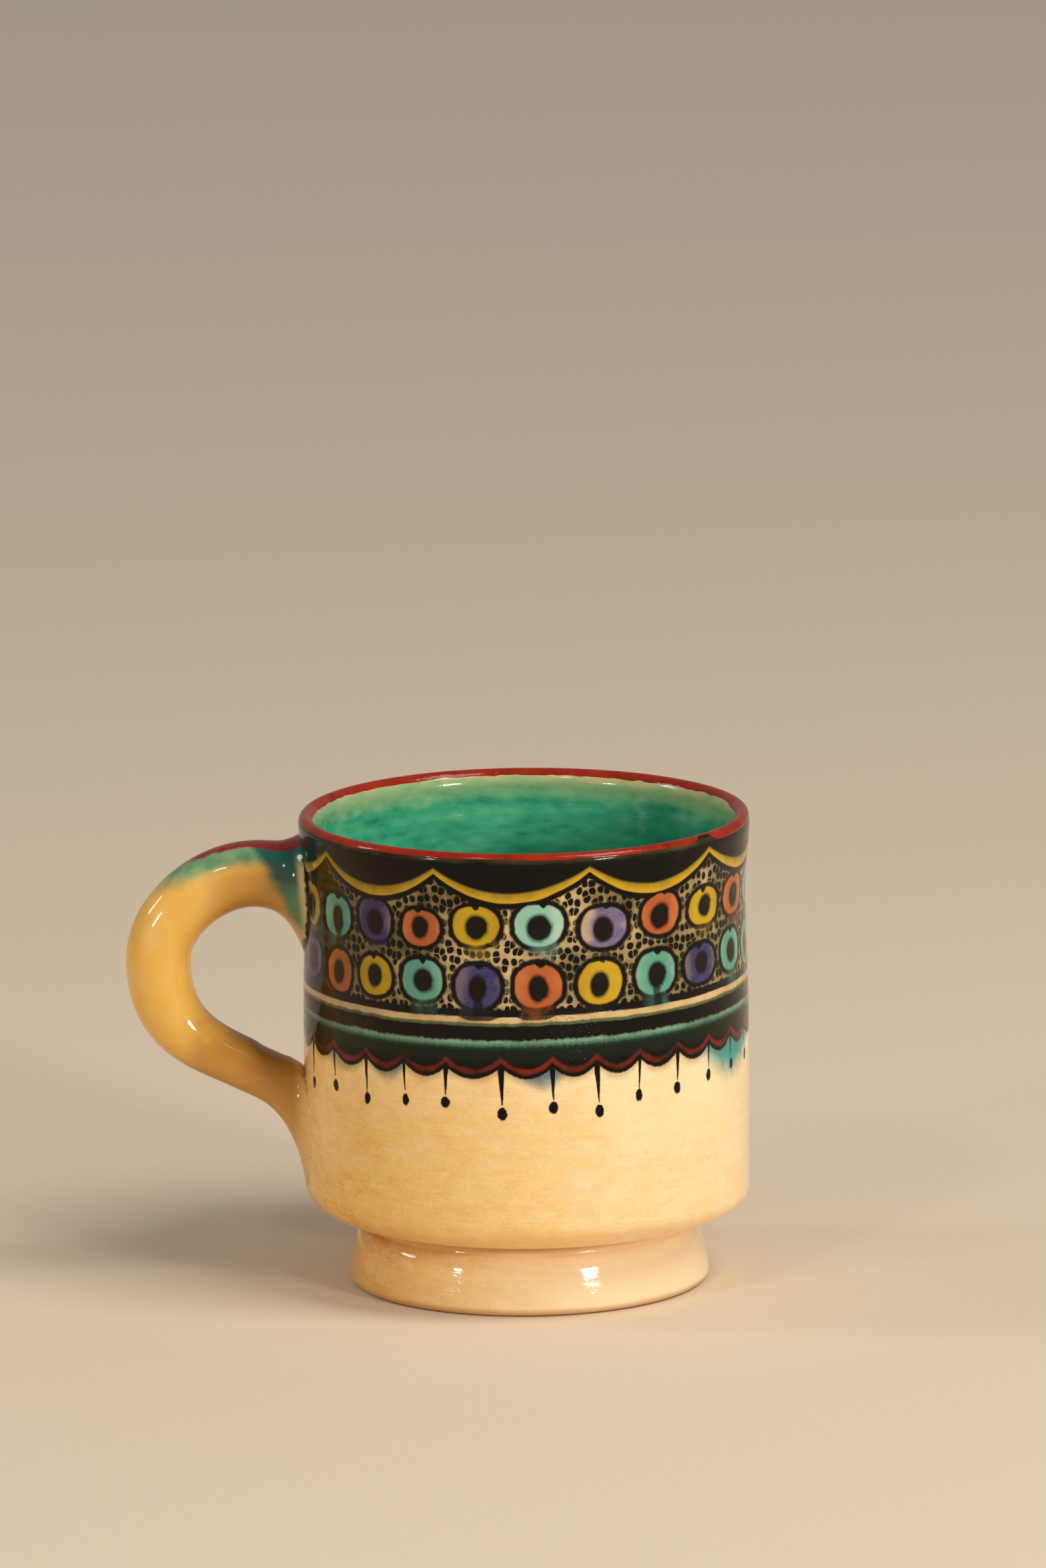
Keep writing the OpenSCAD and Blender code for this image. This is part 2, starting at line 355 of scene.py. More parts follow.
def thrown(outline):
    """A turned shape with the unevenness of a hand-thrown one."""
    bm = spun(outline)
    for vert in bm.verts:
        vert.co = hand_thrown(vert.co)
    return bm


cup_outline = (
    [(0, cup_bottom)]
    + shoulder_line(coat_t)
    + wall_line(coat_t, shoulder_z, lip_z, 60)[1:]
    + lip_line(coat_t, 0, 180, 16)[1:]
    + inside_line(coat_t, 60)[1:]
)
piece("cup_clay", thrown(cup_outline), clay_finish, "bare_clay", "thrown_cup")


# Turned foot
# A flared disc of the same clay, turned on the wheel and hollowed underneath, so that the mug stands
# on a ring. The ring and the hollow are wiped clean of glaze before firing.
foot_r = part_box("turned_foot")[1].x / mm
foot_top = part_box("turned_foot")[1].z / mm
foot_edge_r = 31.1
foot_edge_h = foot_top - 1.7
foot_round = 1.5
recess_r = 25
recess_h = 6
recess_round = 1.2
recess_wall_in = 0.8
ring_pitch = 1.7
ring_depth = 0.07


def bow(start, pull, end, steps):
    """A drawn curve from start to end, bent towards pull."""
    across = [
        [mix(mix(a, b, t), mix(b, c, t), t) for a, b, c in zip(start, pull, end)]
        for t in spread(0, 1, steps)
    ]
    return [tuple(p) for p in across]


def foot_line(inset):
    """The foot's outside from its bare edge up to the neck, an inset deep under the glazed face."""
    flare = bow((foot_r, foot_round), (foot_r, 2.7), (foot_edge_r + 0.3, foot_edge_h - 1.7), 14)
    crown = bow(flare[-1], (foot_edge_r - 0.25, foot_edge_h + 0.1), (neck_r + 0.2, foot_edge_h + 0.8), 8)
    cove = bow(crown[-1], (neck_r, foot_edge_h + 0.95), (neck_r, foot_top), 6)
    return [(r - inset, z) for r, z in flare + crown[1:] + cove[1:]]


def turned_ring(r):
    """Height of the turning tool's spiral marks in the roof of the recess."""
    return recess_h - ring_depth * (1 + math.cos(2 * math.pi * r / ring_pitch))


roof_r = recess_r - recess_wall_in - recess_round
roof = [(r, turned_ring(r)) for r in spread(0, roof_r, 84)]
recess_corner = arc(roof_r, recess_h - recess_round, recess_round, 90, 0, 6)
foot_outline = (
    roof
    + recess_corner[1:]
    + [(recess_r - 0.3, 0.9), (recess_r + 0.1, 0.25), (recess_r + 0.6, 0)]
    + arc(foot_r - foot_round, foot_round, foot_round, -90, 0, 8)
    + foot_line(coat_t)
    + [(0, foot_top)]
)
piece("foot_clay", spun(foot_outline), clay_finish, "bare_clay", "turned_foot")


# Slip joints
# The foot and both ends of the handle are scored, wetted with liquid clay and pressed home. The slip
# dries as a thin pale layer in each joint, under the coats.
slip_finish = bare_clay("joint_slip", (226, 182, 130), (204, 150, 98))
for name in ("foot_joint_slip", "upper_joint_slip", "lower_joint_slip"):
    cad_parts[name].data.materials.clear()
    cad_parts[name].data.materials.append(slip_finish)


# Inside glaze
# A copper-green lead glaze poured and brushed inside the cup. It breaks to a pale celadon where it
# thins under the lip, and keeps the level strokes of a wide brush.
inside_seam = 104


def inside_finish():
    material, place = new_material("green_glaze")
    height = place.part("Z") / mm
    strokes = place.stretched(0.12, 0.12, 1).cloud(2.2, 3)
    cloud = place.cloud(13)
    mottle = place.stretched(0.45, 0.45, 1).cloud(1.6, 4)
    depth = (0.42 + cloud * 0.2 + strokes * 0.15 + mottle * 0.2).maths("MAXIMUM", 0)
    settings = {
        "stops": [
            (0.0, srgb(24, 118, 86)),
            (0.45, srgb(62, 158, 118)),
            (0.75, srgb(92, 174, 136)),
            (1.0, srgb(124, 182, 142)),
        ]
    }
    green = depth.node("ShaderNodeValToRGB", settings, {0: depth})
    edge = height + strokes * 0.6 + cloud * 1.1 + mottle * 0.9
    thin = edge.above(82.2, 2.4) * 0.85
    green = thin.cover(green, srgb(152, 174, 118))
    bare = edge.above(85.0, 0.8) * 0.8
    green = bare.cover(green, srgb(192, 176, 122))
    pool = height.below(20, 5) * 0.55
    green = pool.cover(green, srgb(18, 96, 72))
    # Painted shade: the right inner wall, turned away from the key light, is painted a deeper green.
    painted_inside_shade = (place.part("X") / mm + cloud * 4).above(20, 12) * (height + cloud * 2).below(78, 6) * 0.85
    green = painted_inside_shade.cover(green, srgb(6, 88, 58))
    spots = (mottle + strokes * 0.3).below(-0.85, 0.2) * 0.2
    green = spots.cover(green, srgb(8, 96, 78))
    worn = (mottle + cloud * 0.4).above(0.95, 0.25) * 0.3
    green = worn.cover(green, srgb(132, 150, 98))
    fired(material, green, 0.1 + mottle * 0.02, strokes * 0.012 + cloud * 0.05 + mottle * 0.012)
    return material


inside_face = lip_line(0, inside_seam, 180, 16) + inside_line(0, 90)[1:]
inside_under = lip_line(coat_t, inside_seam, 180, 8) + inside_line(coat_t, 20)[1:]
inside_mesh = thrown(inside_face[::-1] + inside_under)
piece("inside_coat", inside_mesh, inside_finish(), "green_glaze", "inside_glaze")


# Painted wall
# The outside of the cup is dipped in a honey glaze and painted with slip: dark scalloped bands, yellow
# swags, two rows of ringed eyes on a dotted ground, lines, red scallops and hanging drops.
painted_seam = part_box("painted_band")[0].z / mm
paint_r = 40.4
swag_cusps = (-60.5, -23.5, 16.5, 54)
upper_eyes = (-73, -57.5, -42, -28, -13, 3.5, 20.5, 37.5, 53, 69, 85)
lower_eyes = (-72.5, -56, -42.5, -27.5, -12.5, 3, 19.5, 35.5, 51.5, 67, 81)
drop_places = (-72, -59, -45.5, -33, -21, -6.5, 6.5, 18, 30, 42, 54, 65, 76)
drop_heights = (40, 41.2, 40.3, 41.2, 41.3, 39.4, 40.4, 39.2, 41.2, 41.2, 42.1, 42.3, 42.5)
swag_count = 9
eye_count = 23
drop_count = 29
upper_letters = "YtBOYPLOYOTBYTOLYTBOYTB"
lower_letters = "BOYTbOYtBTTYOBTYOLTYOTY"
eye_colours = {
    "Y": (194, 156, 32),
    "O": (172, 88, 44),
    "T": (88, 148, 126),
    "P": (134, 184, 160),
    "B": (46, 44, 90),
    "L": (90, 82, 126),
}
eye_edges = {
    "Y": (180, 136, 34),
    "O": (192, 112, 62),
    "T": (124, 170, 142),
    "P": (176, 200, 172),
    "B": (116, 102, 106),
    "L": (198, 166, 132),
}
eye_bleeds = {
    "Y": (70, 68, 18),
    "O": (84, 28, 12),
    "T": (18, 66, 58),
    "P": (24, 78, 68),
    "B": (22, 20, 48),
    "L": (32, 28, 56),
}
upper_eye_z = 73.0
lower_eye_z = 62.9
upper_eye_half_h = 3.5
lower_eye_half_h = 3.7
eye_half_w = 4.2
outline_reach = 1.23
swag_z = 83.3
swag_drop = 4.8
dotted_z = 58.3
cream_z = (55.8, 57.0)
olive_z = (55.25, 56.5)
green_z = (50.7, 52.65)
scallop_z = 49.1
scallop_drop = 2.15
blush_top_z = 47.5
handle_side = -74
dab_w = 1.45
dab_h = 1.75
black = srgb(8, 6, 4)
brown_black = srgb(21, 15, 9)


def whole_turn(front, count):
    """Places in front as they were painted, and the rest spaced evenly round the back, in degrees."""
    gap = 360 - (front[-1] - front[0])
    rest = count - len(front) + 1
    return list(front) + [front[-1] + gap * i / rest for i in range(1, rest)]


def steps_round(angle, front, count):
    """A value that gains 1 from each of these places to the next: its whole part, and the rest from
    -0.5 to 0.5, which is 0 at the place."""
    places = whole_turn(front, count)
    start = (places[0] + places[-1] - 360) / 2
    stops = [(0, (0, 0, 0, 1))]
    for i, degrees in enumerate(places):
        level = (i + 0.5) / count
        stops.append(((degrees - start) / 360, (level, level, level, 1)))
    stops.append((1, (1, 1, 1, 1)))
    turn = (angle - start).maths("FLOORED_MODULO", 360) / 360
    steps = turn.node("ShaderNodeValToRGB", {"stops": stops}, {0: turn}) * count
    index = steps.maths("FLOOR")
    return index, steps - index - 0.5


def pick(index, values):
    """One of these colours, by its number."""
    count = len(values)
    stops = [(i / count, value) for i, value in enumerate(values)]
    settings = {"stops": stops, "interpolation": "CONSTANT"}
    return index.node("ShaderNodeValToRGB", settings, {0: (index + 0.5) / count})


def grey(level):
    return (level, level, level, 1)


def chance(index, seed):
    """Three values from 0 to 1 that belong to one number."""
    settings = {"noise_dimensions": "1D"}
    colour = index.node("ShaderNodeTexWhiteNoise", settings, {"W": index + seed}, 1)
    return [colour.part(axis) for axis in "XYZ"]


def longest(a, b):
    """Length of the line with these two sides."""
    return (a * a + b * b) ** 0.5


def hang_between(swing):
    """How far a festoon hangs: 0 at its two cusps and 1 midway."""
    return 1 - (abs(swing) * 2 - 1) ** 2


def honey(place, drift, thick):
    """Clear honey glaze on pale slip, deeper where it is thick and where thick carries painted shade: its
    colour and relief in millimetres.
    """
    strokes = place.stretched(0.08, 0.08, 1).cloud(0.55, 3)
    mottle = place.stretched(0.7, 0.7, 1).cloud(2.2, 4)
    grain = place.stretched(0.4, 0.4, 1).cloud(0.28, 2)
    tone = 0.44 + thick * 0.75 + drift * 0.1 + strokes * 0.08 + mottle * 0.11 + grain * 0.13
    tone = tone.maths("MAXIMUM", 0)
    settings = {
        "stops": [
            (0.0, srgb(246, 220, 176)),
            (0.25, srgb(245, 213, 160)),
            (0.55, srgb(240, 199, 133)),
            (0.81, srgb(233, 184, 106)),
            (1.0, srgb(219, 160, 78)),
        ]
    }
    colour = tone.node("ShaderNodeValToRGB", settings, {0: tone})
    specks = place.cells(1.7).below(0.05, 0.02) * (mottle + grain).above(0.2, 0.2) * 0.6
    colour = specks.cover(colour, srgb(104, 62, 28))
    return colour, strokes * 0.006 + grain * 0.003 + drift * 0.05


def wall_depth_and_shade(x, z):
    """How much thicker the honey glaze is low on the wall, and painted shade darker towards the handle's
    side.
    """
    return (34 - z) * 0.009 - (x / paint_r) * 0.46


def eye_row(hand, front, row_z, half_h, letters, seed):
    """One row of ringed eyes: its outlines, its eyes, their colour, and what has run below them."""
    index, swing = steps_round(hand.angle, front, eye_count)
    left, up, size = chance(index, seed)
    spacing = 2 * math.pi * paint_r / eye_count
    across = swing * spacing + hand.shake * 0.14
    rise = hand.height - row_z - (up - 0.5) * 1.2
    half_w = eye_half_w * (0.93 + size * 0.1)
    half_h = half_h * (0.92 + left * 0.18)
    wide = across / half_w
    tall = rise / half_h
    corner = (wide * wide * tall * tall).maths("MINIMUM", 0.3)
    ring = longest(wide, tall) - corner * 0.14 + hand.fuzz * 0.012
    halo = ring.within(outline_reach, outline_reach + 0.08, 0.04)
    outline = ring.below(outline_reach, 0.07)
    disc = ring.below(1.0, 0.05)

    names = letters.upper()
    edges = pick(index, [srgb(*eye_edges[c]) for c in names])
    colour = pick(index, [srgb(*eye_colours[c]) for c in names])
    fade = (abs(across + (up - 0.5) * 2) + tall * 0.5 + hand.shake * 0.7).above(3.1, 1.1) * 0.8
    colour = fade.cover(colour, edges)
    thin = (0.5 + hand.shake * 0.35 + hand.fuzz * 0.4).maths("MAXIMUM", 0) * 0.3
    colour = thin.cover(colour, edges)
    low = rise + 0.2 + (left - 0.5) * 0.8
    heart_x = (across - (size - 0.5) * 0.8) / (1.6 + up * 0.4)
    heart = longest(heart_x, low / (1.85 + left * 0.45)) + hand.shake * 0.06 + hand.fuzz * 0.02
    bleed = heart.below(1.17, 0.18) * 0.8
    colour = bleed.cover(colour, pick(index, [srgb(*eye_bleeds[c]) for c in names]))
    dripping = pick(index, [grey(0.0 if c.isupper() else 1.0) for c in letters])
    drip = abs(heart_x + hand.shake * 0.15).below(0.5, 0.2) * rise.below(0, 0.2) * dripping
    notch_x = across - (left - 0.4) * 1.3
    notch = rise - half_h + 0.2 + size * 0.75 - notch_x * notch_x * (0.7 + up * 0.9) + hand.fuzz * 0.08
    dark = (heart.below(1.0, 0.08) + drip * 0.85 + notch.above(0, 0.18)).maths("MINIMUM", 1)
    colour = dark.cover(colour, brown_black)

    trail = abs(across - (up - 0.5) * 2 + hand.shake * 0.9).below(2.1, 1.3)
    trail = trail * (rise + half_h).within(-2.4, 1.5, 1.1) * (left + size + dripping).above(1.1, 0.1)
    return halo, outline, disc, colour, trail * 0.6


def painted_finish():
    material, place = new_material("painted_wall")
    hand = types.SimpleNamespace()
    x, y, z = (place.part(axis) / mm for axis in "XYZ")
    hand.angle = x.maths("ARCTAN2", -y) * (180 / math.pi)
    hand.drift = place.cloud(11)
    hand.shake = place.cloud(2.4)
    hand.fuzz = place.cloud(0.4)
    hand.height = z - (x / paint_r) * 0.5 - hand.drift * 0.16 - hand.shake * 0.12
    height, shake, fuzz, drift = hand.height, hand.shake, hand.fuzz, hand.drift
    spray = place.cloud(0.25, 1)

    def beside(degrees):
        """How far round the wall from this angle, in degrees."""
        return abs((hand.angle - degrees + 180).maths("FLOORED_MODULO", 360) - 180)

    ground, relief = honey(place, drift, wall_depth_and_shade(x, z))
    teal = srgb(60, 148, 140)
    slate = srgb(84, 120, 126)
    blushes = (
        (66, 16, 38.4, teal, 1.0),
        (4, 8, 42.8, slate, 0.95),
        (-38, 6, 43.2, slate, 0.8),
        (-56, 11, 43.6, srgb(146, 122, 92), 0.6),
        (128, 8, 42.0, teal, 0.8),
        (-152, 7, 43.0, slate, 0.8),
    )
    for middle, width, end, colour, strength in blushes:
        away = (beside(middle) + shake * 1.5) / width
        reach = (height - end) / (blush_top_z - end)
        mask = (reach - away * away * 0.8 + spray * 0.04 + shake * 0.14).above(0.3, 0.34)
        ground = (mask * strength).cover(ground, colour)

    index, swing = steps_round(hand.angle, drop_places, drop_count)
    lean, reach, weight = chance(index, 4.5)
    heights = [drop_heights[i % len(drop_heights)] for i in range(drop_count)]
    drop_z = pick(index, [grey(h / 100) for h in heights]) * 100
    across = swing * (2 * math.pi * paint_r / drop_count)
    stem_end = drop_z + 1.0 + reach * 0.6
    above_end = (height - stem_end).maths("MAXIMUM", 0)
    stem_x = across - (lean - 0.4) * (48 - height) * 0.12 + shake * 0.06
    stem = (abs(stem_x) + fuzz * 0.04 - 0.11 - above_end * (0.04 + weight * 0.04)).below(0, 0.09)
    stem = stem * (height - stem_end).above(0, 0.1)
    drop_x = across - (lean - 0.4) * 0.95
    drop_up = height - drop_z
    drop = longest(drop_x / (0.7 + weight * 0.14), drop_up / 1.15) + drop_up * 0.1 + shake * 0.14
    marks = (stem + (drop + fuzz * 0.1).below(1, 0.16)).maths("MINIMUM", 1)

    scallop = height - scallop_z + hang_between(swing) * scallop_drop + shake * 0.1
    shade = (scallop + shake * 0.4 + spray * 0.2).above(-2.1, 0.9) * 0.4
    ground = shade.cover(ground, srgb(112, 92, 58))
    ground = marks.cover(ground, black)
    painted = (scallop + fuzz * 0.1).above(-1.3, 0.16)
    strokes = place.stretched(0.15, 0.15, 1).cloud(1.1)
    depth = (0.3 + drift * 0.3 + strokes * 0.3).maths("MAXIMUM", 0)
    dark = depth.cover(black, brown_black)
    mossy = (height + shake * 0.4).within(48.8, 51.4, 0.9) * 0.55
    wall = painted.cover(ground, mossy.cover(dark, srgb(28, 38, 26)))
    red_line = (abs(scallop) + fuzz * 0.06 + shake * 0.16).below(0.46, 0.24)
    red = (0.5 + shake * 0.45 + drift * 0.45).cover(srgb(122, 36, 22), srgb(56, 21, 14))
    wall = (red_line * 0.92).cover(wall, red)

    brush = place.stretched(1, 1, 0.2).cloud(0.45)
    green = (green_z[1] + 0.15 - height) / 2.2 + brush * 0.07
    settings = {
        "stops": [
            (0.0, srgb(112, 140, 112)),
            (0.25, srgb(130, 166, 136)),
            (0.45, srgb(84, 128, 102)),
            (0.68, srgb(26, 56, 40)),
            (1.0, srgb(16, 24, 16)),
        ]
    }
    green_line = (height + brush * 0.24 + fuzz * 0.08).below(green_z[1], 0.2) * height.above(green_z[0], 0.3)
    green_line = green_line * (0.75 + drift * 0.45 + shake * 0.15).maths("MINIMUM", 1)
    wall = green_line.cover(wall, green.node("ShaderNodeValToRGB", settings, {0: green}))
    runs = beside(-12).below(4, 2) * 0.75 + beside(2.5).below(4, 2) * 0.55
    olive_line = (height + fuzz * 0.06).within(*olive_z, 0.18)
    wall = olive_line.cover(wall, srgb(92, 98, 62))
    cream_line = (height + fuzz * 0.06).within(*cream_z, 0.14)
    cream = (0.5 + shake * 0.4).cover(srgb(216, 186, 136), srgb(196, 160, 106))
    wall = cream_line.cover(wall, cream)
    spill = (height + runs + shake * 0.2).above(56.9, 0.14) * height.below(57.6, 0.3)
    wall = (spill * 0.9).cover(wall, dark)

    swing = steps_round(hand.angle, swag_cusps, swag_count)[1]
    hang = hang_between(swing)
    swag = height - swag_z + hang * swag_drop + shake * 0.08
    band = 0.45 + hang * 0.45
    turn = (hand.angle + 90).maths("FLOORED_MODULO", 360) * (math.pi / 180 * paint_r)
    sockets = {0: (turn + shake * 0.25) / dab_w, 1: (z + drift * 0.5) / dab_h, 2: 0.0}
    flat = place.node("ShaderNodeCombineXYZ", {}, sockets)
    sockets = {"Vector": flat, "Scale": 1.0, "Randomness": 0.6}
    settings = {"voronoi_dimensions": "2D"}
    dabs = place.node("ShaderNodeTexVoronoi", settings, sockets)
    settings = {"voronoi_dimensions": "2D", "feature": "DISTANCE_TO_EDGE"}
    gaps = place.node("ShaderNodeTexVoronoi", settings, sockets)
    rich = 0.45 + drift * 0.5 + shake * 0.2 + beside(2).below(20, 12) * 0.3
    rich = rich - beside(handle_side).below(24, 18) * 0.4
    rich = rich.maths("MAXIMUM", 0).maths("MINIMUM", 1)
    dab = (dabs + rich * 0.04 + shake * 0.03).below(0.45, 0.07)
    dab = (gaps + spray * 0.015).above(0.035, 0.03) * dab
    web = (1 - dab) * (0.4 + rich * 0.6) * (1 - beside(handle_side).below(20, 12) * 0.45)
    web_colour = rich.cover(srgb(104, 94, 50), srgb(206, 176, 124))
    zone = height.above(dotted_z, 0.2) * (swag + band + fuzz * 0.1).below(-1.15, 0.25)
    wall = zone.cover(wall, web.cover(dark, web_colour))

    rows = [
        eye_row(hand, upper_eyes, upper_eye_z, upper_eye_half_h, upper_letters, 0.5),
        eye_row(hand, lower_eyes, lower_eye_z, lower_eye_half_h, lower_letters, 60.5),
    ]
    discs = 0
    for halo, outline, disc, colour, trail in rows:
        wall = (halo * zone * rich * 0.4).cover(wall, web_colour)
    for halo, outline, disc, colour, trail in rows:
        wall = outline.cover(wall, dark)
        wall = trail.cover(wall, (0.6 + shake * 0.4).cover(colour, brown_black))
    for halo, outline, disc, colour, trail in rows:
        wall = disc.cover(wall, colour)
        discs = disc + discs

    yellow_line = (swag + band).above(0, 0.12) * (swag - band + fuzz * 0.05).below(0, 0.3)
    lit = ((swag + band) / (band * 2) + shake * 0.3).above(0.6, 0.5)
    yellow = lit.cover(srgb(198, 154, 32), srgb(150, 122, 34))
    wall = yellow_line.cover(wall, yellow)
    thin_edge = (z + shake * 0.15).within(84.9, 85.9, 0.3) * (0.35 + drift * 0.4)
    wall = thin_edge.cover(wall, srgb(84, 76, 44))
    # The painted band is made darker brown towards the handle's side.
    handle_side_darkening = beside(-70).below(32, 30) * painted * (0.34 + drift * 0.2).maths("MAXIMUM", 0)
    wall = handle_side_darkening.cover(wall, srgb(52, 37, 20))
    stain = beside(-80).below(13, 5) * (swag - band - 0.6).above(0, 1.2) * 0.75
    wall = stain.cover(wall, srgb(5, 48, 44))

    seething = drift + shake * 0.4 + height.within(47.5, 57, 2) * beside(5).below(13, 7) * 0.9
    blisters = place.cells(0.7).below(0.3, 0.15) * seething.above(0.85, 0.25) * painted
    relief = relief + (discs + yellow_line + cream_line + red_line) * 0.03
    relief = relief + marks * (1 - painted) * 0.04 + painted * 0.08 + blisters * 0.14
    fired(material, wall, 0.09 + shake * 0.02, relief, 0.16)
    return material


wall_finish = painted_finish()
painted_face = wall_line(0, painted_seam, lip_z, 96) + lip_line(0, 0, inside_seam, 14)[1:]
painted_under = wall_line(coat_t, painted_seam, lip_z, 24) + lip_line(coat_t, 0, inside_seam, 6)[1:]
painted_mesh = thrown(painted_face + painted_under[::-1])
piece("painted_coat", painted_mesh, wall_finish, "painted_dark_glaze", "painted_band")
lower_face = shoulder_line(0) + wall_line(0, shoulder_z, painted_seam, 50)[1:]
lower_under = shoulder_line(coat_t) + wall_line(coat_t, shoulder_z, painted_seam, 16)[1:]
lower_mesh = thrown(lower_face + lower_under[::-1])
piece("lower_wall_coat", lower_mesh, wall_finish, "honey_glaze", "lower_wall_glaze")


# Red rim
# A band of iron-red slip drawn over the lip with a loaded brush while the cup turns. It stands a
# little proud, and its edges waver.
rim_start = 24
rim_stop = 140
rim_proud = 0.08
rim_sunk = 0.02
rim_nick = 53
nick_depth = 55


def rim_finish():
    material, place = new_material("red_slip")
    strokes = place.cloud(5)
    fine = place.cloud(1.1)
    tone = 0.5 + strokes * 0.35 + fine * 0.2
    colour = tone.cover(srgb(164, 44, 20), srgb(124, 27, 13))
    worn = (place.cloud(9) + fine * 0.3).above(0.7, 0.3) * 0.5
    colour = worn.cover(colour, srgb(64, 17, 10))
    fired(material, colour, 0.12 + fine * 0.03, strokes * 0.04 + fine * 0.012, 0.2)
    return material


def brushed_band(first, last):
    """The band's outline on the lip between two angles, proud in its middle and sunk at both edges."""
    face = []
    for share in spread(0, 1, 24):
        proud = rim_proud * math.sin(math.pi * share) ** 0.4 - rim_sunk
        face.append(lip_point(mix(first, last, share), -proud))
    return face + lip_line(0.5 * coat_t, first, last, 8)[::-1]


def rim_edges(angle):
    """Where the brush left the band's two edges at an angle round the lip."""
    spot = Vector((math.cos(angle), math.sin(angle), 0))
    past = math.degrees(angle) - rim_nick
    nick = nick_depth * ease(1 - abs(past) / 5) - 16 * ease(past / 6) * ease((60 - past) / 40)
    first = rim_start + 9 * noise.noise(spot * 4) + 5 * noise.noise(spot * 15) + nick
    last = rim_stop + 7 * noise.noise(spot * 5 + Vector((0, 0, 9))) + 7 * noise.noise(spot * 17)
    return first, last


def rim_mesh():
    bm = spun(brushed_band(rim_start, rim_stop))
    step = bm.verts.layers.int["step"]
    bands = {}
    for vert in bm.verts:
        angle = math.atan2(vert.co.x, -vert.co.y)
        spot = round(angle, 3)
        if spot not in bands:
            bands[spot] = brushed_band(*rim_edges(angle))
        r, z = bands[spot][vert[step]]
        vert.co = hand_thrown(Vector((r * math.sin(angle), -r * math.cos(angle), z)) * mm)
    return bm


piece("rim_coat", rim_mesh(), rim_finish(), "red_slip", "rim_band")


# Foot glaze
# The same honey glaze runs down over the foot and pools a deeper orange in the groove under the cup,
# where painted shade under the cup's overhang darkens it as well. It stops just short of the table.
glaze_edge = -50


def foot_finish():
    material, place = new_material("honey_foot")
    x, z = place.part("X") / mm, place.part("Z") / mm
    drift = place.cloud(11)
    # Painted shade: the foot's honey is made darker towards the left, the side away from the key light.
    colour, relief = honey(place, drift, -0.32 - x / foot_r * 1.2)
    # The deeper orange in the groove is pooled glaze and painted shade under the cup's overhang.
    pool = (z + drift * 0.3).above(10.9, 0.7) * 0.6
    colour = pool.cover(colour, srgb(206, 136, 58))
    thin = (z + drift * 0.3).below(1.2, 0.7) * 0.5
    colour = thin.cover(colour, srgb(200, 140, 78))
    fired(material, colour, 0.06 + drift * 0.015, relief, 0.5)
    return material


foot_face = arc(foot_r - foot_round, foot_round, foot_round, glaze_edge, 0, 8)
foot_face = foot_face + foot_line(0)[1:] + [(neck_r, cup_bottom)]
foot_under = [(foot_r - 3 * coat_t, foot_round)] + foot_line(coat_t)[1:] + [(neck_r - coat_t, cup_bottom)]
foot_mesh = spun(foot_face + foot_under[::-1])
piece("foot_coat", foot_mesh, foot_finish(), "honey_glaze", "foot_glaze")


# Handle
# One pulled roll of the cup's clay, bent to a loop and pressed on, then dipped in the honey glaze. Red
# slip is brushed along its crest beside a trailed green glaze, which darkens where it meets the wall.
upper_root = Vector((wall_at(71.8), 71.8))
lower_root = Vector((wall_at(28.3), 28.3))
handle_reach = 26.3
root_span = upper_root.y - lower_root.y
grip = Vector((wall_r + handle_reach, upper_root.y - 0.28 * root_span))
upper_rise = math.radians(45)
lower_slope = math.radians(78)
upper_line = (
    upper_root,
    upper_root + 0.5 * handle_reach * Vector((math.cos(upper_rise), math.sin(upper_rise))),
    grip + Vector((0, 0.245 * root_span)),
    grip,
)
lower_line = (
    grip,
    grip - Vector((0, 0.51 * root_span)),
    lower_root + 0.39 * root_span * Vector((math.cos(lower_slope), math.sin(lower_slope))),
    lower_root,
)
ring_sides = 36
upper_rings = 34
lower_rings = 46
ring_crowding = 1.4
smoothing_turns = 8
section_power = 0.9
root_wide = 16
upper_root_h = 21
lower_root_h = 20.6
upper_flare = 0.26
lower_flare = 0.42
upper_thick = 12.4
grip_thick = 12.2
grip_wide = 13.4
tail_thick = 9.6
tail_wide = 11.4
smear_reach = 2.6
smear_w = 1.3
root_lift = 0.5
skirts = ((0.3, 1.0), (1.5, 1.5))


def drawn(line, t):
    """A point on a drawn curve, and the direction that the curve takes there."""
    a, b, c, d = line
    ab, bc, cd = a.lerp(b, t), b.lerp(c, t), c.lerp(d, t)
    first, second = ab.lerp(bc, t), bc.lerp(cd, t)
    return first.lerp(second, t), (second - first).normalized()


def handle_section(t, line, flare, power, upright, root_h, thick, wide):
    """Middle, outward direction and half sizes of the handle's section at a point of its curve."""
    middle, heading = drawn(line, t)
    outward = Vector((-heading.y, heading.x))
    outward = outward.lerp(Vector((0, upright)), ease(flare / 0.28)).normalized()
    flare = max(0, flare)
    half_t = mix(thick, root_h, flare**power) / 2
    half_w = mix(wide, root_wide, flare**power) / 2
    return middle, outward, half_t, half_w, flare


handle_sections = []
for i in range(upper_rings):
    t = (i / upper_rings) ** ring_crowding
    thick = mix(upper_thick, grip_thick, ease(t))
    flare = 1 - t / upper_flare
    handle_sections.append(handle_section(t, upper_line, flare, 3, 1, upper_root_h, thick, grip_wide))
for i in range(lower_rings + 1):
    t = 1 - (1 - i / lower_rings) ** ring_crowding
    thin = ease(t / (1 - lower_flare))
    thick, wide = mix(grip_thick, tail_thick, thin), mix(grip_wide, tail_wide, thin)
    flare = 1 - (1 - t) / lower_flare
    handle_sections.append(handle_section(t, lower_line, flare, 2.5, -1, lower_root_h, thick, wide))


def signed_power(value, power):
    return math.copysign(abs(value) ** power, value)


